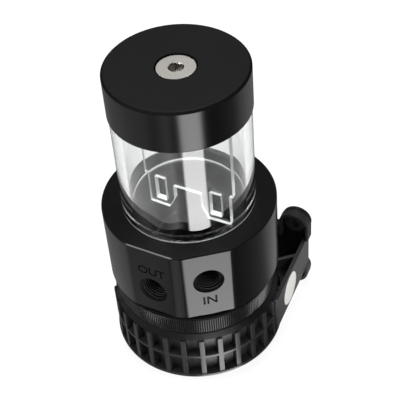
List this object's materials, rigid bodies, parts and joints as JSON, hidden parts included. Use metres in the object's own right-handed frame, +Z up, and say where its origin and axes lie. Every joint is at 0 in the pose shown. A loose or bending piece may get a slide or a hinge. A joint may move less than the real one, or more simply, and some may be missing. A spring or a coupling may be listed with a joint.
{
  "type": "coolant pump reservoir",
  "caption": "Clear tube coolant reservoir on a ported pump top, with a magnet-drive pump in a ribbed basket that hangs on a rubber-mounted wall bracket.",
  "frame": {"origin": "on the pump axis, at the underside of the basket", "axes": "+Z up along the pump axis, +Y towards the wall that the bracket bolts to, +X to the right seen from the front"},
  "size_m": [0.0892, 0.0937, 0.1661],
  "materials": {
    "moulded_black": "fine moulded satin black",
    "acetal_black": "machined satin black",
    "motor_black": "satin moulded black",
    "impeller_black": "satin moulded black",
    "ring_anodised": "black anodised, straight knurl",
    "clear_acrylic": "polished clear",
    "baffle_acrylic": "clear sheet with frosted cut edges",
    "plug_nickel": "satin nickel plate",
    "badge_white": "bare satin white",
    "rubber": "matt black rubber",
    "board_green": "satin solder mask",
    "cup_steel": "drawn stainless sheet",
    "lamination_steel": "stacked sheet",
    "winding_copper": "enamelled wire",
    "magnet_ferrite": "ground ferrite",
    "ceramic_white": "polished ceramic"
  },
  "bodies": {
    "pump_motor": {"pump_basket": "moulded_black", "badge_disc": "badge_white", "damper_grommets": "rubber", "motor_housing": "motor_black", "motor_end_cover": "motor_black", "circuit_board": "board_green", "cable_grommet": "rubber", "isolation_cup": "cup_steel", "bearing_pin": "ceramic_white", "stator_core": "lamination_steel", "stator_coils": "winding_copper"},
    "rotor": {"rotor_magnet": "magnet_ferrite", "bearing_bush": "ceramic_white", "impeller": "impeller_black"},
    "lock_ring": {"lock_ring": "ring_anodised"},
    "reservoir": {"pump_top": "acetal_black", "tube_o_ring": "rubber", "pump_seal_o_ring": "rubber", "reservoir_tube": "clear_acrylic", "baffle_plate": "baffle_acrylic"},
    "cap_seal": {"cap_o_ring": "rubber"},
    "screw_cap": {"top_cap": "acetal_black"},
    "plug_seal": {"fill_plug_o_ring": "rubber"},
    "plug": {"fill_plug": "plug_nickel"}
  },
  "joints": [
    {"name": "rotor_spin", "type": "hinge", "parent": "pump_motor", "child": "rotor", "pos_m": [0, 0, 0.033], "axis": [0, 0, 1], "continuous": true},
    {"name": "lock_ring_turn", "type": "hinge", "parent": "pump_motor", "child": "lock_ring", "pos_m": [0, 0, 0.035], "axis": [0, 0, 1], "range_deg": [-1080, 0]},
    {"name": "reservoir_rise", "type": "slide", "parent": "pump_motor", "child": "reservoir", "axis": [0, 0, 1], "range_m": [0, 0.0061]},
    {"name": "cap_rise", "type": "slide", "parent": "reservoir", "child": "cap_seal", "axis": [0, 0, 1], "range_m": [0, 0.0081]},
    {"name": "cap_turn", "type": "hinge", "parent": "cap_seal", "child": "screw_cap", "pos_m": [0, 0, 0.148], "axis": [0, 0, 1], "range_deg": [0, 1440]},
    {"name": "plug_rise", "type": "slide", "parent": "screw_cap", "child": "plug_seal", "axis": [0, 0, 1], "range_m": [0, 0.0081]},
    {"name": "plug_turn", "type": "hinge", "parent": "plug_seal", "child": "plug", "pos_m": [0, 0, 0.155], "axis": [0, 0, 1], "range_deg": [0, 2160]}
  ],
  "couplings": [
    {"joint": "reservoir_rise", "follows": "lock_ring_turn", "m_per_rad": -0.00031831},
    {"joint": "cap_rise", "follows": "cap_turn", "m_per_rad": 0.00031831},
    {"joint": "plug_rise", "follows": "plug_turn", "m_per_rad": 0.00021279}
  ]
}
